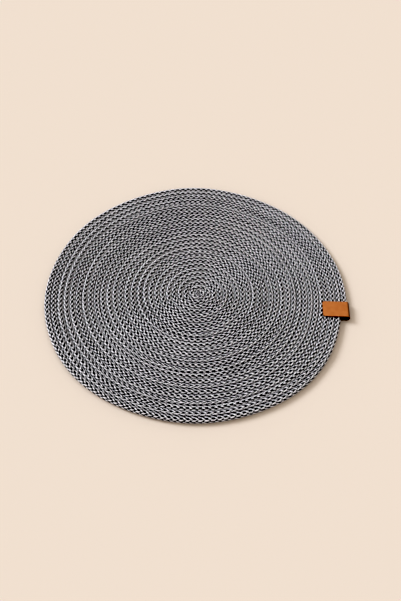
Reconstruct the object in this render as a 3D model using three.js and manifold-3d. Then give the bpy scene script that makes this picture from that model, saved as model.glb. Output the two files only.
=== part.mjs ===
// Round placemat: one braided cord wound flat into a coil and joined turn to turn,
// with a leather tag folded over the rim where the cord ends.
// Millimetres, +Z up. The origin lies on the table under the middle of the outline,
// and the tag is near +X.
import * as THREE from 'three';
import * as BufferGeometryUtils from 'three/addons/utils/BufferGeometryUtils.js';
import Module from 'manifold-3d';

// The mat and its cord
const MAT_RADIUS = 180;
const CORD_WIDTH = 7;
const CORD_HEIGHT = 6;
const GROOVE_DEPTH = 1.6;
const STEPS_PER_TURN = 72;
const FULL_TURN = 2 * Math.PI;
const DEGREE = Math.PI / 180;

// The coil's centre lies a little off the middle of the outline.
const COIL_CENTRE = { x: 5.2, y: 1.3 };
const COIL_START_RADIUS = 0.35;

// The cord's first end is blunt: its middle reaches this far ahead of its sides.
const CORD_TIP = 20 * DEGREE;

// The cord ends under the tag, and narrows over its last stretch.
const CORD_END_AZIMUTH = -11.5 * DEGREE;
const CORD_END_TAPER = 8 * DEGREE;
const CORD_END_SHARE = 0.3;

// The rim cord's outer side: its shoulder, its widest line and its foot
const SHOULDER = { across: 0.36, height: 4.9 };
const RIM_HEIGHT = CORD_HEIGHT / 2;
const FOOT_INSET = 2.4;

// The outline's unevenness: how many lobes, how far out, and where one of them peaks
const OUTLINE_SWELLS = [
  { lobes: 2, out: 1.48, peak: -45 * DEGREE },
  { lobes: 3, out: 0.77, peak: -36 * DEGREE },
  { lobes: 4, out: 0.37, peak: 38 * DEGREE },
  { lobes: 5, out: 0.27, peak: 22 * DEGREE },
  { lobes: 6, out: 0.36, peak: 27 * DEGREE },
  { lobes: 8, out: 0.35, peak: 2 * DEGREE },
];

// The leather tag: a strip folded over the rim, one leg above and one below
const LEATHER = 1.2;
const CLEARANCE = 0.3;
const TAG_CENTRE = { x: 167.9, y: -25.1 };
const TAG_YAW = -2 * DEGREE;
const TAG_LENGTH = 32;
const TAG_WIDTH = 22.5;
const TAG_CORNER = 3;
const BEND_STEPS = 12;
const CORNER_STEPS = 6;

// The lower leg lifts the rim off the table, and the two legs press it thinner.
const RIM_LIFT = LEATHER + CLEARANCE;
const PRESSED_SHARE = 0.82;
const LIFT_REACH = { full: 40, none: 90 };
const PRESS_REACH = { full: 40, none: 70 };
const TAG_HEIGHT = RIM_LIFT + CORD_HEIGHT * PRESSED_SHARE + CLEARANCE + LEATHER;

// Rings of the underside, as shares of the way out to its edge
const UNDERSIDE_RINGS = [0.92, 0.82, 0.7, 0.55];

const BRAID = { color: 0x7d7b7e, roughness: 0.95, metalness: 0 };
const TAN_LEATHER = { color: 0xb4642a, roughness: 0.6, metalness: 0 };

// Corners closer than this are one corner.
const SAME_POINT = 1e-4;

// 1 within reach.full of the tag's middle, falling smoothly to 0 at reach.none
function nearTag(x, y, reach) {
  const distance = Math.hypot(x - TAG_CENTRE.x, y - TAG_CENTRE.y);
  return 1 - THREE.MathUtils.smoothstep(distance, reach.full, reach.none);
}

function outlineSwell(azimuth) {
  return OUTLINE_SWELLS.reduce(
    (sum, swell) => sum + swell.out * Math.cos(swell.lobes * (azimuth - swell.peak)), 0);
}

// A point of the mat from its distance along the coil's radius, its azimuth and its height
function matPoint(radius, azimuth, height) {
  const outward = (radius / MAT_RADIUS) ** 2;
  const reach = radius + outlineSwell(azimuth) * outward;
  const x = COIL_CENTRE.x * (1 - outward) + reach * Math.cos(azimuth);
  const y = COIL_CENTRE.y * (1 - outward) + reach * Math.sin(azimuth);
  const thickness = 1 - (1 - PRESSED_SHARE) * nearTag(x, y, PRESS_REACH);
  return new THREE.Vector3(x, y, height * thickness + RIM_LIFT * nearTag(x, y, LIFT_REACH));
}

// Closed solid from corner points and triangles
function solidGeometry(points, triangles) {
  const geometry = new THREE.BufferGeometry();
  const corners = points.flatMap((point) => point.toArray());
  geometry.setAttribute('position', new THREE.Float32BufferAttribute(corners, 3));
  geometry.setIndex(triangles.flat());
  return geometry;
}

// The coiled cord as one solid: every turn is a ridge between two grooves
function coiledMat() {
  const rimStartTurns = (MAT_RADIUS - CORD_WIDTH / 2 - COIL_START_RADIUS) / CORD_WIDTH;
  const cordSteps = Math.round(rimStartTurns * STEPS_PER_TURN);
  const rimStart = cordSteps - STEPS_PER_TURN;
  const grooveHeight = CORD_HEIGHT - GROOVE_DEPTH;
  const points = [];
  const triangles = [];
  const add = (point) => points.push(point) - 1;
  const quad = (inner, outer, outerNext, innerNext) =>
    triangles.push([inner, outerNext, outer], [inner, innerNext, outerNext]);

  // The cord runs clockwise from the centre outwards, seen from above.
  const azimuthAt = (step) => CORD_END_AZIMUTH + ((cordSteps - step) * FULL_TURN) / STEPS_PER_TURN;
  const innerRadius = (step) => COIL_START_RADIUS + (CORD_WIDTH * step) / STEPS_PER_TURN;
  const widthAt = (step) => {
    const toEnd = ((cordSteps - step) * FULL_TURN) / STEPS_PER_TURN;
    const share = THREE.MathUtils.clamp(toEnd / CORD_END_TAPER, 0, 1);
    return CORD_WIDTH * THREE.MathUtils.lerp(CORD_END_SHARE, 1, share);
  };
  const cordPoint = (step, across, height) =>
    add(matPoint(innerRadius(step) + widthAt(step) * across, azimuthAt(step), height));

  // Grooves, with the last turn's outer side as the rim, and ridges between them
  const groove = [];
  for (let step = 0; step < cordSteps; step += 1) {
    groove.push(cordPoint(step, 0, grooveHeight));
  }
  for (let step = rimStart; step <= cordSteps; step += 1) {
    groove.push(cordPoint(step, 1, RIM_HEIGHT));
  }
  const tipRadius = innerRadius(0) + CORD_WIDTH / 2;
  const ridge = [add(matPoint(tipRadius, azimuthAt(0) + CORD_TIP, CORD_HEIGHT))];
  for (let step = 1; step <= cordSteps; step += 1) {
    ridge.push(cordPoint(step, 0.5, CORD_HEIGHT));
  }
  const shoulder = new Map();
  for (let step = rimStart; step <= cordSteps; step += 1) {
    shoulder.set(step, cordPoint(step, 0.5 + SHOULDER.across, SHOULDER.height));
  }
  for (let step = 0; step < cordSteps; step += 1) {
    quad(groove[step], ridge[step], ridge[step + 1], groove[step + 1]);
    const outer = groove[step + STEPS_PER_TURN];
    const outerNext = groove[step + STEPS_PER_TURN + 1];
    if (step < rimStart) {
      quad(ridge[step], outer, outerNext, ridge[step + 1]);
    } else {
      quad(ridge[step], shoulder.get(step), shoulder.get(step + 1), ridge[step + 1]);
      quad(shoulder.get(step), outer, outerNext, shoulder.get(step + 1));
    }
  }

  // The small step where the shoulder starts, under the tag
  triangles.push([groove[cordSteps], ridge[rimStart], shoulder.get(rimStart)]);

  // The eye of the coil, between the cord's tip and the first turn
  const eye = [...groove.slice(0, STEPS_PER_TURN + 1), ridge[0]];
  const eyeOutline = eye.map((index) => new THREE.Vector2(points[index].x, points[index].y));
  for (const [a, b, c] of THREE.ShapeUtils.triangulateShape(eyeOutline, [])) {
    const clockwise = THREE.ShapeUtils.isClockWise([eyeOutline[a], eyeOutline[b], eyeOutline[c]]);
    triangles.push(clockwise ? [eye[a], eye[c], eye[b]] : [eye[a], eye[b], eye[c]]);
  }

  // The edge all round, once round the rim and back across the cord's end, and the foot below it
  const edge = [...groove.slice(cordSteps), shoulder.get(cordSteps), ridge[cordSteps]];
  const edgeSteps = groove.length - cordSteps;
  const edgeRadius = [];
  for (let step = rimStart; step <= cordSteps; step += 1) {
    edgeRadius.push(innerRadius(step) + widthAt(step));
  }
  const endWidth = widthAt(cordSteps);
  edgeRadius.push(innerRadius(cordSteps) + endWidth * (0.5 + SHOULDER.across));
  edgeRadius.push(innerRadius(cordSteps) + endWidth * 0.5);
  const edgeAzimuth = (place) => azimuthAt(rimStart + Math.min(place, edgeSteps - 1));
  const footPoint = (place) => matPoint(edgeRadius[place] - FOOT_INSET, edgeAzimuth(place), 0);
  const foot = edge.map((_, place) => add(footPoint(place)));
  for (let place = 0; place < edge.length; place += 1) {
    const next = (place + 1) % edge.length;
    quad(edge[place], foot[place], foot[next], edge[next]);
  }

  // The underside, in rings from the foot to the middle
  let outerRing = foot;
  for (const share of UNDERSIDE_RINGS) {
    const ring = [];
    for (let place = 0; place < STEPS_PER_TURN; place += 1) {
      ring.push(add(matPoint((edgeRadius[place] - FOOT_INSET) * share, edgeAzimuth(place), 0)));
    }
    const last = STEPS_PER_TURN - 1;
    for (let place = 0; place < last; place += 1) {
      quad(outerRing[place], ring[place], ring[place + 1], outerRing[place + 1]);
    }
    for (let place = last; place < outerRing.length; place += 1) {
      triangles.push([ring[last], outerRing[place], outerRing[(place + 1) % outerRing.length]]);
    }
    triangles.push([ring[last], outerRing[0], ring[0]]);
    outerRing = ring;
  }
  const middle = add(new THREE.Vector3(0, 0, 0));
  outerRing.forEach((corner, place) => {
    triangles.push([middle, corner, outerRing[(place + 1) % outerRing.length]]);
  });
  return solidGeometry(points, triangles);
}

// The tag from the side: two legs and the bend round the rim
function foldedStrip() {
  const innerEnd = -TAG_LENGTH / 2;
  const outerBend = TAG_HEIGHT / 2;
  const innerBend = outerBend - LEATHER;
  const bendCentre = TAG_LENGTH / 2 - outerBend;
  const side = new THREE.Shape();
  side.moveTo(innerEnd, 0);
  side.absarc(bendCentre, outerBend, outerBend, -Math.PI / 2, Math.PI / 2, false);
  side.lineTo(innerEnd, TAG_HEIGHT);
  side.lineTo(innerEnd, TAG_HEIGHT - LEATHER);
  side.absarc(bendCentre, outerBend, innerBend, Math.PI / 2, -Math.PI / 2, true);
  side.lineTo(innerEnd, LEATHER);
  side.closePath();
  const strip = new THREE.ExtrudeGeometry(side, {
    depth: TAG_WIDTH, bevelEnabled: false, steps: 1, curveSegments: BEND_STEPS,
  });
  strip.rotateX(Math.PI / 2);
  strip.translate(0, TAG_WIDTH / 2, 0);
  return strip;
}

// The tag from above: square at the bend, with two rounded corners at its inner end
function tagOutline() {
  const half = TAG_WIDTH / 2;
  const innerEnd = -TAG_LENGTH / 2;
  const pastBend = TAG_LENGTH / 2 + LEATHER;
  const plan = new THREE.Shape();
  plan.moveTo(pastBend, -half);
  plan.lineTo(pastBend, half);
  plan.absarc(innerEnd + TAG_CORNER, half - TAG_CORNER, TAG_CORNER, Math.PI / 2, Math.PI, false);
  plan.absarc(innerEnd + TAG_CORNER, TAG_CORNER - half, TAG_CORNER, Math.PI, 1.5 * Math.PI, false);
  plan.closePath();
  const outline = new THREE.ExtrudeGeometry(plan, {
    depth: TAG_HEIGHT + 2 * LEATHER, bevelEnabled: false, steps: 1, curveSegments: CORNER_STEPS,
  });
  outline.translate(0, 0, -LEATHER);
  return outline;
}

const wasm = await Module();
wasm.setup();

function toManifold(geometry) {
  const bare = geometry.index ? geometry.toNonIndexed() : geometry.clone();
  bare.deleteAttribute('normal');
  bare.deleteAttribute('uv');
  const merged = BufferGeometryUtils.mergeVertices(bare, SAME_POINT);
  return new wasm.Manifold(new wasm.Mesh({
    numProp: 3,
    vertProperties: new Float32Array(merged.attributes.position.array),
    triVerts: new Uint32Array(merged.index.array),
  }));
}

function fromManifold(solid) {
  const mesh = solid.getMesh();
  const geometry = new THREE.BufferGeometry();
  geometry.setAttribute('position', new THREE.BufferAttribute(new Float32Array(mesh.vertProperties), 3));
  geometry.setIndex([...mesh.triVerts]);
  return geometry;
}

function foldedTag() {
  return fromManifold(toManifold(foldedStrip()).intersect(toManifold(tagOutline())));
}

function namedMesh(name, geometry, finish) {
  geometry.computeVertexNormals();
  const mesh = new THREE.Mesh(geometry, new THREE.MeshStandardMaterial(finish));
  mesh.name = name;
  return mesh;
}

const placemat = new THREE.Group();
placemat.add(namedMesh('mat', coiledMat(), BRAID));

const tag = namedMesh('tag', foldedTag(), TAN_LEATHER);
tag.position.set(TAG_CENTRE.x, TAG_CENTRE.y, 0);
tag.rotation.z = TAG_YAW;
placemat.add(tag);

export default placemat;
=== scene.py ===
# Round placemat of braided two-tone cord, wound flat into a coil, with a leather tag
# folded over its rim. Metres, +Z up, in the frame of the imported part.
import math

import bmesh
import bpy
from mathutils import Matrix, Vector


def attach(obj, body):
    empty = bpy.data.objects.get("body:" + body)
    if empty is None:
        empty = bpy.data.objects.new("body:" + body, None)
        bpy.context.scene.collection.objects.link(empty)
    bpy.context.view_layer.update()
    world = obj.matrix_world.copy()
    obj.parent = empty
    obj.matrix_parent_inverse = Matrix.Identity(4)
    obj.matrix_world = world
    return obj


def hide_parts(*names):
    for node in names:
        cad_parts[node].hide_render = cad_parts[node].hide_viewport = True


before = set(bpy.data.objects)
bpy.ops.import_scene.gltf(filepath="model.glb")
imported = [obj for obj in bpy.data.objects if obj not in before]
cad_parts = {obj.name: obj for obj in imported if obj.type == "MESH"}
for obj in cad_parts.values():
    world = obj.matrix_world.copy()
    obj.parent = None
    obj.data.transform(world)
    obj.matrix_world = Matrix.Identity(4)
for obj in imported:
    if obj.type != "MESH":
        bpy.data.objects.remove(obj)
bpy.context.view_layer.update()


# Camera: at the photograph's viewing angle, about 51 degrees above the table and a metre
# away, looking along +Y.
PHOTO_HEIGHT_PIXELS = 601
FOCAL_LENGTH_PIXELS = 850
FILM_WIDTH = 36
CAMERA_ELEVATION = math.radians(51.53)
CAMERA_DISTANCE = 1.0226
LOOK_AT = Vector((0.0075, -0.0063, 0))


def added(name, data):
    """A new object with that data, linked into the scene."""
    thing = bpy.data.objects.new(name, data)
    bpy.context.scene.collection.objects.link(thing)
    return thing


camera_data = bpy.data.cameras.new("camera")
camera_data.sensor_width = FILM_WIDTH
camera_data.lens = FOCAL_LENGTH_PIXELS * FILM_WIDTH / PHOTO_HEIGHT_PIXELS
camera = added("camera", camera_data)
back = Vector((0, -math.cos(CAMERA_ELEVATION), math.sin(CAMERA_ELEVATION)))
camera.location = LOOK_AT + back * CAMERA_DISTANCE
camera.rotation_euler = (math.pi / 2 - CAMERA_ELEVATION, 0, 0)
bpy.context.scene.camera = camera


# Table and light: a plain pale beige table top, with a wide soft lamp on the left and a
# pale sky all round. The picture is printed with firm contrast and deep blacks.
FLOOR_SIZE = 8
FLOOR_BELOW = 0.00005
FLOOR_COLOUR = (0.729, 0.660, 0.597, 1)
LAMP_DIRECTION = Vector((-0.82, 0.40, 0.58))
LAMP_SPREAD = math.radians(24)
LAMP_STRENGTH = 1.32
LAMP_COLOUR = (0.95, 1.0, 1.08)
SKY_COLOUR = (1.0, 0.965, 0.92, 1)
SKY_STRENGTH = 0.55
TABLE_ROUGHNESS = 0.9
TABLE_SHEEN = 0.0
PRINTED_BLACK = 0.052


def new_finish(name, roughness, sheen):
    """A material with that roughness and sheen, and its shader."""
    material = bpy.data.materials.new(name)
    material.use_nodes = True
    shader = material.node_tree.nodes["Principled BSDF"]
    shader.inputs["Roughness"].default_value = roughness
    shader.inputs["Specular IOR Level"].default_value = sheen
    return material, shader


printing = bpy.context.scene.view_settings
printing.view_transform = "Standard"
printing.look = "Very High Contrast"
printing.use_curve_mapping = True
printing.curve_mapping.black_level = [PRINTED_BLACK] * 3
printing.curve_mapping.update()

floor_mesh = bpy.data.meshes.new("table_top")
corners = [(x * FLOOR_SIZE / 2, y * FLOOR_SIZE / 2, -FLOOR_BELOW)
           for x, y in ((-1, -1), (1, -1), (1, 1), (-1, 1))]
floor_mesh.from_pydata(corners, [], [(0, 1, 2, 3)])
floor = added("table_top", floor_mesh)
floor_paint, floor_shader = new_finish("table_paint", TABLE_ROUGHNESS, TABLE_SHEEN)
floor_shader.inputs["Base Color"].default_value = FLOOR_COLOUR
floor_mesh.materials.append(floor_paint)

lamp_data = bpy.data.lights.new("soft_lamp", "SUN")
lamp_data.angle = LAMP_SPREAD
lamp_data.energy = LAMP_STRENGTH
lamp_data.color = LAMP_COLOUR
lamp = added("soft_lamp", lamp_data)
lamp.location = LAMP_DIRECTION
lamp.rotation_euler = LAMP_DIRECTION.to_track_quat("Z", "Y").to_euler()

sky = bpy.data.worlds.new("sky")
sky.use_nodes = True
sky.node_tree.nodes["Background"].inputs["Color"].default_value = SKY_COLOUR
sky.node_tree.nodes["Background"].inputs["Strength"].default_value = SKY_STRENGTH
bpy.context.scene.world = sky


# Cord core: the cotton body of the braided cord, wound flat from the middle outwards and
# joined turn to turn. It shows in the gaps of the braid, so it carries the two tones of the
# strands that pass beneath the others there, the light one painted darker as painted shade
# of the gaps.
MAT_RADIUS = 0.180
CORD_WIDTH = 0.007
CORD_HEIGHT = 0.006
COIL_CENTRE = (0.0052, 0.0013)
COIL_START_RADIUS = 0.00035
FIRST_RADIUS = COIL_START_RADIUS + CORD_WIDTH / 2
CORD_END_AZIMUTH = math.radians(-11.5)
CORD_END_TAPER = math.radians(8)
CORD_END_SHARE = 0.3
STEPS_PER_TURN = 72
COIL_STEPS = round((MAT_RADIUS - FIRST_RADIUS) / CORD_WIDTH * STEPS_PER_TURN)
TURNS = COIL_STEPS / STEPS_PER_TURN
OUTLINE_SWELLS = (  # lobes, how far out, where one peaks
    (2, 0.00148, math.radians(-45)),
    (3, 0.00077, math.radians(-36)),
    (4, 0.00037, math.radians(38)),
    (5, 0.00027, math.radians(22)),
    (6, 0.00036, math.radians(27)),
    (8, 0.00035, math.radians(2)),
)
TAG_CENTRE = (0.1679, -0.0251)
LEATHER = 0.0012
CLEARANCE = 0.0003
RIM_LIFT = LEATHER + CLEARANCE
PRESSED_SHARE = 0.82
LIFT_REACH = (0.040, 0.090)  # how far from the tag's middle it starts to fade, and is gone
PRESS_REACH = (0.040, 0.070)
TIP_TURNS = 0.7
TIP_LENGTH = TIP_TURNS * math.tau * FIRST_RADIUS
TIP_THINNING = 0.5
SQUARENESS = 2.5
UNEVENNESS = 0.035
UNEVEN_SPACING = 0.03
SMOOTH_WAVES = 1
COLUMNS = 8
FLOAT_SPACING = 0.00345
BRAID_ROLL = math.radians(8)
ROLL_SWING = math.radians(45)
ROLLS_PER_TURN = 1.6
CORE_SIDES = 12
CORE_STEPS_PER_TURN = 100
CORE_RADIUS = 0.00255
DARK_COLOUR = (0.010, 0.010, 0.011, 1)
# Light strands beneath, painted darker than the light yarn: painted shade of the gaps.
SHADED_LIGHT_BENEATH = (0.49, 0.49, 0.50, 1)
CUT_END = (0.16, 0.16, 0.17, 1)
CUT_END_SHARE = 0.93
STRIPE_FADE = (-0.35, -0.05)  # where in the wave of stripes light turns to dark
COTTON_ROUGHNESS = 0.95
COTTON_SHEEN = 0.12
HAIRLINE = CORD_HEIGHT / 1000  # the least radius, so that nothing is divided by zero
MIX_COLOURS = (6, 7)  # which inputs of a Mix node are its two colours
MIXED_COLOUR = 2


class Field:
    """A value in a node tree, so that formulas read as plain arithmetic."""

    def __init__(self, socket):
        self.socket = socket

    def math(self, operation, *others):
        node = self.socket.id_data.nodes.new("ShaderNodeMath")
        node.operation = operation
        for slot, value in zip(node.inputs, (self, *others)):
            plug(value, slot)
        return Field(node.outputs[0])

    def __add__(self, other):
        return self.math("ADD", other)

    def __sub__(self, other):
        return self.math("SUBTRACT", other)

    def __mul__(self, other):
        return self.math("MULTIPLY", other)

    def __truediv__(self, other):
        return self.math("DIVIDE", other)

    def __pow__(self, other):
        return self.math("POWER", other)


def plug(value, slot):
    """Gives a node's input a field or a plain value."""
    if isinstance(value, Field):
        slot.id_data.links.new(value.socket, slot)
    else:
        slot.default_value = value


def put(tree, kind, inputs=None, **settings):
    """Adds a node to the tree, with its settings and its named inputs."""
    node = tree.nodes.new(kind)
    for name, value in settings.items():
        setattr(node, name, value)
    for name, value in (inputs or {}).items():
        plug(value, node.inputs[name])
    return node


def out(node, name=0):
    """A node's output as a field."""
    return Field(node.outputs[name])


def new_tree(name, inputs):
    """A node tree that changes geometry. Returns it, and its named inputs as fields."""
    tree = bpy.data.node_groups.new(name, "GeometryNodeTree")
    tree.interface.new_socket("Geometry", in_out="OUTPUT", socket_type="NodeSocketGeometry")
    tree.interface.new_socket("Geometry", in_out="INPUT", socket_type="NodeSocketGeometry")
    for size, (kind, value) in inputs.items():
        socket = tree.interface.new_socket(size, in_out="INPUT", socket_type=f"NodeSocket{kind}")
        if value is not None:
            socket.default_value = value
    given = put(tree, "NodeGroupInput")
    return tree, {socket.name: Field(socket) for socket in given.outputs if socket.name}


def near_tag(tree, x, y, reach):
    """1 close to the tag, and falling smoothly to 0 further off."""
    apart = ((x - TAG_CENTRE[0]) ** 2 + (y - TAG_CENTRE[1]) ** 2).math("SQRT")
    return out(put(tree, "ShaderNodeMapRange", {
        "Value": apart, "From Min": reach[0], "From Max": reach[1], "To Min": 1, "To Max": 0,
    }, interpolation_type="SMOOTHSTEP"))


def turns_at(along):
    """Turns made at a length along the cord, and the part of a turn by which the tip is short."""
    wound = (along.math("MAXIMUM", 0) * (CORD_WIDTH / math.pi) + FIRST_RADIUS ** 2).math("SQRT")
    tip = along.math("MINIMUM", 0) / (math.tau * FIRST_RADIUS)
    return (wound - FIRST_RADIUS) / CORD_WIDTH, tip


def braid_roll(tree, turns):
    """How far the braid has rolled round the cord there, as a cord does when it is wound."""
    wave = out(put(tree, "ShaderNodeTexNoise", {
        "W": turns * ROLLS_PER_TURN, "Scale": 1, "Detail": SMOOTH_WAVES,
    }, noise_dimensions="1D"), "Fac")
    return (wave - 0.5) * (2 * ROLL_SWING) + BRAID_ROLL


def winding():
    """Winds a straight cord, which lies along X with its middle at Z = 0, into the flat coil."""
    tree, given = new_tree("wind the cord", {
        "Cord width": ("Float", CORD_WIDTH),
        "Cord height": ("Float", CORD_HEIGHT),
        "Mat radius": ("Float", MAT_RADIUS),
        "Turns": ("Float", TURNS),
    })
    width, height = given["Cord width"], given["Cord height"]
    straight = put(tree, "ShaderNodeSeparateXYZ", {"Vector": out(put(tree, "GeometryNodeInputPosition"))})
    along, across, up = out(straight, "X"), out(straight, "Y"), out(straight, "Z")

    # Pressed against its neighbours, the round section turns a little square.
    round_size = (across ** 2 + up ** 2).math("SQRT").math("MAXIMUM", HAIRLINE)
    squarish = across.math("ABSOLUTE") ** SQUARENESS + up.math("ABSOLUTE") ** SQUARENESS
    swell = round_size / (squarish ** (1 / SQUARENESS)).math("MAXIMUM", HAIRLINE)

    turns, tip = turns_at(along)
    angle_left = (given["Turns"] - turns - tip) * math.tau
    azimuth = angle_left + CORD_END_AZIMUTH
    end = (angle_left / CORD_END_TAPER).math("MINIMUM", 1).math("MAXIMUM", 0)
    narrow = (end * (1 - CORD_END_SHARE) + CORD_END_SHARE) * (tip + 1)
    outwards = across * swell * width / height + width / 2
    radius = turns * width + COIL_START_RADIUS + outwards * narrow

    share = (radius / given["Mat radius"]) ** 2
    reach = radius
    for lobes, size, peak in OUTLINE_SWELLS:
        reach = reach + ((azimuth - peak) * lobes).math("COSINE") * size * share
    x = azimuth.math("COSINE") * reach + (share * -1 + 1) * COIL_CENTRE[0]
    y = azimuth.math("SINE") * reach + (share * -1 + 1) * COIL_CENTRE[1]

    flat = put(tree, "ShaderNodeCombineXYZ", {"X": x, "Y": y})
    bumps = out(put(tree, "ShaderNodeTexNoise", {
        "Vector": out(flat), "Scale": 1 / UNEVEN_SPACING, "Detail": SMOOTH_WAVES,
    }), "Fac")
    uneven = (bumps - 0.5) * (2 * UNEVENNESS) + 1
    pressed = near_tag(tree, x, y, PRESS_REACH) * (PRESSED_SHARE - 1) + 1
    z = (up * swell * (tip * TIP_THINNING + 1) + height / 2).math("MAXIMUM", 0) * uneven * pressed
    z = z + near_tag(tree, x, y, LIFT_REACH) * RIM_LIFT
    wound = put(tree, "ShaderNodeCombineXYZ", {"X": x, "Y": y, "Z": z})
    placed = put(tree, "GeometryNodeSetPosition", {"Geometry": given["Geometry"], "Position": out(wound)})
    put(tree, "NodeGroupOutput", {"Geometry": out(placed)})
    return tree


wind_cord = winding()


def wound_up(tree, straight, yarn):
    """Ends a tree: winds the straight geometry into the coil and gives it its yarn."""
    coil = put(tree, "GeometryNodeGroup", {"Geometry": straight}, node_tree=wind_cord)
    shaded = put(tree, "GeometryNodeSetShadeSmooth", {"Geometry": out(coil)})
    coloured = put(tree, "GeometryNodeSetMaterial", {"Geometry": out(shaded), "Material": yarn})
    put(tree, "NodeGroupOutput", {"Geometry": out(coloured)})


def cord_length(turns):
    """The length of cord in that many turns, which are a number or a field."""
    return (turns * FIRST_RADIUS + turns ** 2 * (CORD_WIDTH / 2)) * math.tau


def core_tree():
    """The core: a long straight tube with closed ends, rolled with the braid, then wound."""
    tree, given = new_tree("cord core", {
        "Radius": ("Float", CORE_RADIUS),
        "Sides": ("Int", CORE_SIDES),
        "Steps": ("Int", round(CORE_STEPS_PER_TURN * (TURNS + TIP_TURNS))),
        "Yarn": ("Material", None),
    })
    line = put(tree, "GeometryNodeMeshLine", {"Count": given["Steps"]}, mode="OFFSET")
    step = out(put(tree, "GeometryNodeInputIndex"))
    turns = step / (given["Steps"] - 1) * (TURNS + TIP_TURNS) - TIP_TURNS
    tip = turns.math("MINIMUM", 0)
    along = cord_length(turns.math("MAXIMUM", 0)) + tip * (math.tau * FIRST_RADIUS)
    spread = put(tree, "GeometryNodeSetPosition", {
        "Geometry": out(line), "Position": out(put(tree, "ShaderNodeCombineXYZ", {"X": along})),
    })
    path = put(tree, "GeometryNodeMeshToCurve", {"Mesh": out(spread)})
    ring = put(tree, "GeometryNodeCurvePrimitiveCircle", {
        "Resolution": given["Sides"], "Radius": given["Radius"],
    })
    tube = put(tree, "GeometryNodeCurveToMesh", {
        "Curve": out(path), "Profile Curve": out(ring), "Fill Caps": True,
    })
    place = out(put(tree, "GeometryNodeInputPosition"))
    marked = put(tree, "GeometryNodeStoreNamedAttribute", {
        "Geometry": out(tube), "Name": "straight", "Value": place,
    }, data_type="FLOAT_VECTOR", domain="POINT")
    parts = put(tree, "ShaderNodeSeparateXYZ", {"Vector": place})
    turns_here = turns_at(out(parts, "X"))[0]
    twisted = put(tree, "ShaderNodeVectorRotate", {
        "Vector": place, "Angle": braid_roll(tree, turns_here) * -1,
    }, rotation_type="X_AXIS")
    rolled = put(tree, "GeometryNodeSetPosition", {"Geometry": out(marked), "Position": out(twisted)})
    wound_up(tree, out(rolled), given["Yarn"])
    return tree


def grown(name, tree, **values):
    """Runs the tree with those inputs, and returns its result as a plain mesh object."""
    piece = added(name, bpy.data.meshes.new(name))
    nodes = piece.modifiers.new(name, "NODES")
    nodes.node_group = tree
    identifiers = {item.name: item.identifier for item in tree.interface.items_tree}
    for key, value in values.items():
        nodes[identifiers[key]] = value
    evaluated = piece.evaluated_get(bpy.context.evaluated_depsgraph_get())
    mesh = bpy.data.meshes.new_from_object(evaluated)
    piece.modifiers.clear()
    piece.data = mesh
    return piece


def mixed(tree, share, first, second):
    """A colour between two others, by its share of the second one."""
    blend = put(tree, "ShaderNodeMix", {"Factor": share}, data_type="RGBA")
    for colour, slot in zip((first, second), MIX_COLOURS):
        plug(colour, blend.inputs[slot])
    return out(blend, MIXED_COLOUR)


def striped_yarn():
    """The core's cotton: dark under every other gap of each column, elsewhere light with painted shade, and
    plain at its cut end.
    """
    material, shader = new_finish("core_yarn", COTTON_ROUGHNESS, COTTON_SHEEN)
    tree = material.node_tree
    straight = put(tree, "ShaderNodeSeparateXYZ", {
        "Vector": out(put(tree, "ShaderNodeAttribute", attribute_name="straight"), "Vector"),
    })
    along, across, up = out(straight, "X"), out(straight, "Y"), out(straight, "Z")
    round_cord = across.math("ARCTAN2", up) * (COLUMNS / math.tau)
    column = round_cord.math("ROUND")
    other_way = column.math("ABSOLUTE").math("MODULO", 2)
    slant = (round_cord - column) * (other_way * -2 + 1)
    floats = (along + TIP_LENGTH) / FLOAT_SPACING
    stripe = ((floats + slant + other_way) * math.pi).math("COSINE")
    dark = out(put(tree, "ShaderNodeMapRange", {
        "Value": stripe, "From Min": STRIPE_FADE[0], "From Max": STRIPE_FADE[1],
    }))
    inside = (across ** 2 + up ** 2).math("SQRT").math("LESS_THAN", CUT_END_SHARE * CORE_RADIUS)
    colour = mixed(tree, inside, mixed(tree, dark, SHADED_LIGHT_BENEATH, DARK_COLOUR), CUT_END)
    plug(colour, shader.inputs["Base Color"])
    return material


core = grown("cord_core", core_tree(), Yarn=striped_yarn())
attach(core, "root")
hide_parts("mat")


# Braid: sixteen cotton strands plaited round the core, eight each way. Every other strand
# of one direction is near black, and the rest are light grey. What shows of each strand is
# a row of short plump floats, one in every other column, that dip under their neighbours.
DARK_PALER = (0.055, 0.055, 0.060, 1)
LIGHT_COLOUR = (0.729, 0.723, 0.755, 1)
LIGHT_PALER = (0.984, 0.971, 1.0, 1)
# The share of plies paints the lines between the yarns darker: painted shade.
TONE_SHARES = (0.45, 0.35, 0.2)  # of the float's own tone, of fuzz, of plies
FUZZ_SIZE = 0.0007
FUZZ_DETAIL = 3
PLIES = 3
YARN_RELIEF = 0.0002
YARN_RELIEF_STRENGTH = 0.5
FLOAT_SIDES = 6
FLOAT_RINGS = 3
BALL_POLE = 0.01  # the least distance from the ball's axis
BLUNTNESS = 0.4
FLOAT_REACH = (1.22, 1.12)  # in columns, for strands of the one direction and the other
LIGHT_FILL = (0.94, 0.69)  # width in float spacings, for the one direction and the other
DARK_FILL = 1.25
PARTED = 0.21
SLACK = 0.16
PLUMPNESS = 0.22
STRAND_MIDDLE = 0.00228
STRAND_THICKNESS = 0.00082
STRAND_DIP = 0.0005
DIP_STEEPNESS = 4
RANDOM_SEED = 7
RANDOM_FLOAT = 1  # which output of a Random Value node is its number
DARK_PIECES = 2
LIGHT_PIECES = 5


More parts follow.
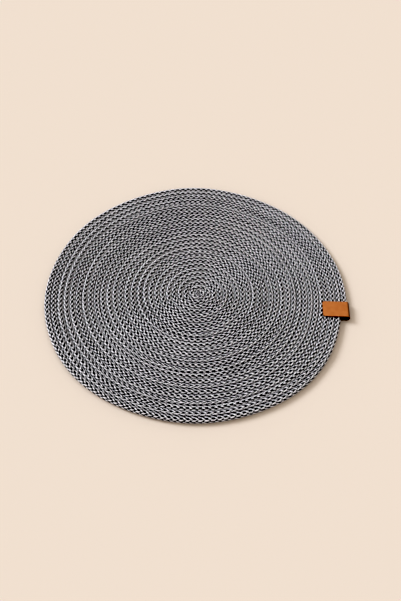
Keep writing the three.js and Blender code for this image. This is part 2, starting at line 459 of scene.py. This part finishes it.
def braid_tree():
    """One float for each place in each column along the cord, laid round the core and wound."""
    tree, given = new_tree("braid strands", {
        "First": ("Int", 0),
        "Count": ("Int", 0),
        "Dark": ("Int", 0),
        "Float spacing": ("Float", FLOAT_SPACING),
        "Seed": ("Int", RANDOM_SEED),
        "Yarn": ("Material", None),
    })
    spacing = given["Float spacing"]
    line = put(tree, "GeometryNodeMeshLine", {"Count": given["Count"]}, mode="OFFSET")
    index = out(put(tree, "GeometryNodeInputIndex")) + given["First"]
    column = index.math("MODULO", COLUMNS)
    place = (index / COLUMNS).math("FLOOR")
    other_way = column.math("MODULO", 2)
    second = place.math("MODULO", 2)

    # Every second float of the one direction is dark. Those of the other direction are all
    # light, and part where a dark strand passes beneath them.
    apart = (second * 2 - 1) * PARTED
    along = (place + other_way * (apart + 0.5)) * spacing - TIP_LENGTH
    dark = (other_way * -1 + 1) * (second * -1 + 1)
    chosen = dark.math("COMPARE", given["Dark"], 0.5)
    light_fill = other_way * (LIGHT_FILL[1] - LIGHT_FILL[0]) + LIGHT_FILL[0]
    fill = light_fill + dark * (DARK_FILL - LIGHT_FILL[0])

    # Each point carries its float's place, lean, width and tone, and the ball its own form,
    # because the floats are only shaped once they are one mesh.
    points = out(line)
    tone, slack = [
        out(put(tree, "FunctionNodeRandomValue", {"Seed": seed}, data_type="FLOAT"), RANDOM_FLOAT)
        for seed in (given["Seed"], given["Seed"] + 1)
    ]
    along = along + (slack - 0.5) * spacing * SLACK
    fill = fill + (tone - 0.5) * PLUMPNESS
    for name, value in (("tone", tone), ("along", along), ("column", column),
                        ("lean", other_way * 2 - 1), ("fill", fill)):
        points = out(put(tree, "GeometryNodeStoreNamedAttribute", {
            "Geometry": points, "Name": name, "Value": value,
        }, data_type="FLOAT", domain="POINT"))
    ball = put(tree, "GeometryNodeMeshUVSphere", {
        "Segments": FLOAT_SIDES, "Rings": FLOAT_RINGS, "Radius": 1.0,
    })
    own = put(tree, "GeometryNodeStoreNamedAttribute", {
        "Geometry": out(ball), "Name": "own place", "Value": out(put(tree, "GeometryNodeInputPosition")),
    }, data_type="FLOAT_VECTOR", domain="POINT")
    spots = put(tree, "GeometryNodeInstanceOnPoints", {
        "Points": points, "Selection": chosen, "Instance": out(own),
    })
    real = put(tree, "GeometryNodeRealizeInstances", {"Geometry": out(spots)})

    def carried(name, kind="FLOAT"):
        return out(put(tree, "GeometryNodeInputNamedAttribute", {"Name": name}, data_type=kind))

    parts = put(tree, "ShaderNodeSeparateXYZ", {"Vector": carried("own place", "FLOAT_VECTOR")})
    side, up, way = out(parts, "X"), out(parts, "Y"), out(parts, "Z")
    blunt = (side ** 2 + up ** 2).math("SQRT").math("MAXIMUM", BALL_POLE) ** -BLUNTNESS

    # Half a float's length each way, a little more in the one direction than in the other.
    lean = carried("lean")
    one_way, other = FLOAT_REACH[0] / 2, FLOAT_REACH[1] / 2
    reach = way * (lean * ((other - one_way) / 2) + (other + one_way) / 2)
    x = carried("along") + spacing * (reach * lean + side * blunt * carried("fill") / 2)
    roll = braid_roll(tree, turns_at(x)[0])
    angle = (carried("column") + reach) * (math.tau / COLUMNS) - roll
    radius = up * blunt * STRAND_THICKNESS + STRAND_MIDDLE - way ** DIP_STEEPNESS * STRAND_DIP
    shaped = put(tree, "GeometryNodeSetPosition", {
        "Geometry": out(real),
        "Position": out(put(tree, "ShaderNodeCombineXYZ", {
            "X": x, "Y": angle.math("SINE") * radius, "Z": angle.math("COSINE") * radius,
        })),
    })
    marked = put(tree, "GeometryNodeStoreNamedAttribute", {
        "Geometry": out(shaped), "Name": "UVMap",
        "Value": out(put(tree, "ShaderNodeCombineXYZ", {"X": way, "Y": side})),
    }, data_type="FLOAT2", domain="CORNER")
    wound_up(tree, out(marked), given["Yarn"])
    return tree


def strand_yarn(name, colour, paler):
    """Cotton yarns laid side by side in each strand, with painted shade between them, and no two floats
    quite the same tone.
    """
    material, shader = new_finish(name, COTTON_ROUGHNESS, COTTON_SHEEN)
    tree = material.node_tree
    place = out(put(tree, "ShaderNodeTexCoord"), "Object")
    fuzz = out(put(tree, "ShaderNodeTexNoise", {
        "Vector": place, "Scale": 1 / FUZZ_SIZE, "Detail": FUZZ_DETAIL,
    }), "Fac")
    tone = out(put(tree, "ShaderNodeAttribute", attribute_name="tone"), "Fac")
    across = out(put(tree, "ShaderNodeSeparateXYZ", {
        "Vector": out(put(tree, "ShaderNodeUVMap", uv_map="UVMap")),
    }), "Y")
    # The yarns' ridges, used for relief and for colour; the darker colour between the yarns is painted
    # shade.
    ply_ridges_and_shade = ((across * (math.pi * PLIES)).math("COSINE") + 1) / 2
    share = tone * TONE_SHARES[0] + fuzz * TONE_SHARES[1] + ply_ridges_and_shade * TONE_SHARES[2]
    plug(mixed(tree, share, colour, paler), shader.inputs["Base Color"])
    ridges = put(tree, "ShaderNodeBump", {
        "Height": ply_ridges_and_shade + fuzz, "Strength": YARN_RELIEF_STRENGTH, "Distance": YARN_RELIEF,
    })
    plug(out(ridges), shader.inputs["Normal"])
    return material


braid = braid_tree()
places = math.floor((cord_length(TURNS) + TIP_LENGTH) / FLOAT_SPACING) * COLUMNS


def plait(tint, dark, yarn, pieces):
    """The floats of one tint, in as many pieces, one after the other along the cord."""
    for piece in range(pieces):
        first = places * piece // pieces
        count = places * (piece + 1) // pieces - first
        strand = grown(f"{tint}_strands_{piece + 1}", braid, First=first, Count=count, Dark=dark, Yarn=yarn)
        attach(strand, "root")
        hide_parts("mat")


plait("dark", 1, strand_yarn("dark_yarn", DARK_COLOUR, DARK_PALER), DARK_PIECES)
plait("light", 0, strand_yarn("light_yarn", LIGHT_COLOUR, LIGHT_PALER), LIGHT_PIECES)


# Tag: one strip of tan leather, cut with rounded corners and folded over the rim round the
# cord's end. The grain side is out, with a soft sheen, and it is darker at the cut edges. Its
# flesh side is dark suede deepened with painted shade, and painted shade darkens the fold.
TAG_YAW = math.radians(-2)
TAG_LENGTH = 0.032
TAG_WIDTH = 0.0225
TAG_CORNER = 0.003
TAG_HEIGHT = 2 * LEATHER + CLEARANCE * 2 + CORD_HEIGHT * PRESSED_SHARE
TAG_STEPS = 12
BEND_STEPS = 16
CORNER_STEPS = 6
CORNER_CROWDING = 1.5
ACROSS_STEPS = 14
EDGE_ROUNDING = 0.00035
EDGE_STEPS = 3
TAN = (0.575, 0.304, 0.152, 1)
TAN_DEEPER = (0.43, 0.197, 0.09, 1)
TAN_EDGE = (0.13, 0.034, 0.009, 1)
# Painted shade on the fold: its colour, and where round the fold it begins and is full.
FOLD_PAINTED_SHADE = (0.09, 0.032, 0.012, 1)
FOLD_SHADE = (0.2, 0.6)  # where round the fold the shade begins and is full
EDGE_SHADE = 0.85
# Dark suede of the flesh side, made near black with painted shade inside the fold.
SHADED_SUEDE = (0.035, 0.015, 0.008, 1)
LEATHER_ROUGHNESS = 0.5
LEATHER_SHEEN = 0.35
MOTTLE_SIZE = 0.00625
MOTTLE_DETAIL = 4
GRAIN_SIZE = 0.00067
GRAIN_RELIEF = 0.0002
GRAIN_STRENGTH = 0.25

bend_radius = (TAG_HEIGHT - LEATHER) / 2
leg = TAG_LENGTH - TAG_HEIGHT / 2
bend = math.pi * bend_radius
strip_length = 2 * leg + bend


def strip_stations():
    """Where the strip is measured along its length, closer together at corners and fold."""
    ends = [EDGE_ROUNDING * (1 - math.cos(math.pi / 2 * i / EDGE_STEPS)) for i in range(EDGE_STEPS + 1)]
    ends += [EDGE_ROUNDING + (TAG_CORNER - EDGE_ROUNDING) * (i / CORNER_STEPS) ** CORNER_CROWDING
             for i in range(1, CORNER_STEPS + 1)]
    straight = [TAG_CORNER + (leg - TAG_CORNER) * i / TAG_STEPS for i in range(1, TAG_STEPS + 1)]
    fold = [leg + bend * i / BEND_STEPS for i in range(1, BEND_STEPS)]
    first_half = ends + straight
    return first_half + fold + [strip_length - along for along in reversed(first_half)]


def strip_place(along):
    """A point of the folded strip's middle, and the direction its grain side faces."""
    if along < leg:
        return Vector((-TAG_LENGTH / 2 + along, 0, LEATHER / 2)), Vector((0, 0, -1))
    if along > strip_length - leg:
        left = strip_length - along
        return Vector((-TAG_LENGTH / 2 + left, 0, TAG_HEIGHT - LEATHER / 2)), Vector((0, 0, 1))
    turn = (along - leg) / bend * math.pi
    away = Vector((math.sin(turn), 0, -math.cos(turn)))
    return Vector((TAG_LENGTH / 2 - TAG_HEIGHT / 2, 0, TAG_HEIGHT / 2)) + away * bend_radius, away


def strip_section(along):
    """The strip's cross section: places across it, up through it, and how near its cut edge."""
    end = min(along, strip_length - along)
    inset = max(TAG_CORNER - end, 0)
    half = TAG_WIDTH / 2 - TAG_CORNER + math.sqrt(max(TAG_CORNER ** 2 - inset ** 2, 0))
    bevel = max(EDGE_ROUNDING - end, 0)
    thick = LEATHER / 2 - EDGE_ROUNDING + math.sqrt(EDGE_ROUNDING ** 2 - bevel ** 2)
    flat_edge = half - EDGE_ROUNDING
    at_end = 1 if bevel > 0 else 0
    upper = [(flat_edge * (2 * i / ACROSS_STEPS - 1), thick, at_end) for i in range(ACROSS_STEPS + 1)]
    rounding = []
    for i in range(1, EDGE_STEPS + 1):
        turn = math.pi / 2 * i / EDGE_STEPS
        rounding.append((flat_edge + EDGE_ROUNDING * math.sin(turn),
                         thick - EDGE_ROUNDING * (1 - math.cos(turn)), 1))
    right = rounding + [(across, -up, edge) for across, up, edge in reversed(rounding)]
    lower = [(across, -up, edge) for across, up, edge in reversed(upper)]
    left = [(-across, -up, edge) for across, up, edge in right]
    return upper + right + lower + left


def folded_strip(name):
    """The strip's mesh: its sections joined all along, with both ends closed."""
    build = bmesh.new()
    edge_layer = build.verts.layers.float.new("cut edge")
    flesh_layer = build.verts.layers.float.new("flesh side")
    strip_layer = build.loops.layers.uv.new("UVMap")
    across_mat = Vector((-math.sin(TAG_YAW), math.cos(TAG_YAW), 0))
    along_mat = Vector((math.cos(TAG_YAW), math.sin(TAG_YAW), 0))
    flat_place = {}
    rings = []
    for along in strip_stations():
        middle, grain_way = strip_place(along)
        ring = []
        for across, up, edge in strip_section(along):
            leg_place = middle + grain_way * up
            spot = Vector((*TAG_CENTRE, leg_place.z)) + along_mat * leg_place.x + across_mat * across
            vertex = build.verts.new(spot)
            vertex[edge_layer] = edge
            vertex[flesh_layer] = 1 if up < 0 else 0
            flat_place[vertex] = (along, across)
            ring.append(vertex)
        rings.append(ring)
    faces = [build.faces.new(rings[0]), build.faces.new(list(reversed(rings[-1])))]
    for ring, following in zip(rings, rings[1:]):
        for i in range(len(ring)):
            faces.append(build.faces.new((ring[i - 1], following[i - 1], following[i], ring[i])))
    for face in faces:
        face.smooth = True
        for loop in face.loops:
            loop[strip_layer].uv = flat_place[loop.vert]
    bmesh.ops.recalc_face_normals(build, faces=build.faces)
    mesh = bpy.data.meshes.new(name)
    build.to_mesh(mesh)
    build.free()
    return mesh


def tan_leather():
    """Smooth tan leather, faintly mottled and pebbled, with near-black suede on its flesh side, partly
    painted shade, and painted shade round the fold.
    """
    material, shader = new_finish("tan_leather", LEATHER_ROUGHNESS, LEATHER_SHEEN)
    tree = material.node_tree
    place = out(put(tree, "ShaderNodeTexCoord"), "Object")
    mottle = out(put(tree, "ShaderNodeTexNoise", {
        "Vector": place, "Scale": 1 / MOTTLE_SIZE, "Detail": MOTTLE_DETAIL,
    }), "Fac")
    along_strip = out(put(tree, "ShaderNodeSeparateXYZ", {
        "Vector": out(put(tree, "ShaderNodeUVMap", uv_map="UVMap")),
    }), "X")
    from_fold = (along_strip - strip_length / 2).math("ABSOLUTE") / (bend / 2)
    # How much painted shade the fold gets, strongest at its middle.
    folded = out(put(tree, "ShaderNodeMapRange", {
        "Value": from_fold * -1 + 1, "From Min": FOLD_SHADE[0], "From Max": FOLD_SHADE[1],
    }, interpolation_type="SMOOTHSTEP"))
    edge = out(put(tree, "ShaderNodeAttribute", attribute_name="cut edge"), "Fac")
    flesh = out(put(tree, "ShaderNodeAttribute", attribute_name="flesh side"), "Fac")
    # The mottled tan, with painted shade round the fold.
    colour = mixed(tree, folded, mixed(tree, mottle, TAN_DEEPER, TAN), FOLD_PAINTED_SHADE)
    colour = mixed(tree, flesh, mixed(tree, edge * EDGE_SHADE, colour, TAN_EDGE), SHADED_SUEDE)
    plug(colour, shader.inputs["Base Color"])
    grain = out(put(tree, "ShaderNodeTexVoronoi", {"Vector": place, "Scale": 1 / GRAIN_SIZE}), "Distance")
    pebbles = put(tree, "ShaderNodeBump", {
        "Height": grain, "Strength": GRAIN_STRENGTH, "Distance": GRAIN_RELIEF,
    })
    plug(out(pebbles), shader.inputs["Normal"])
    return material


tag = added("leather_tag", folded_strip("leather_tag"))
tag.data.materials.append(tan_leather())
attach(tag, "root")
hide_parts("tag")
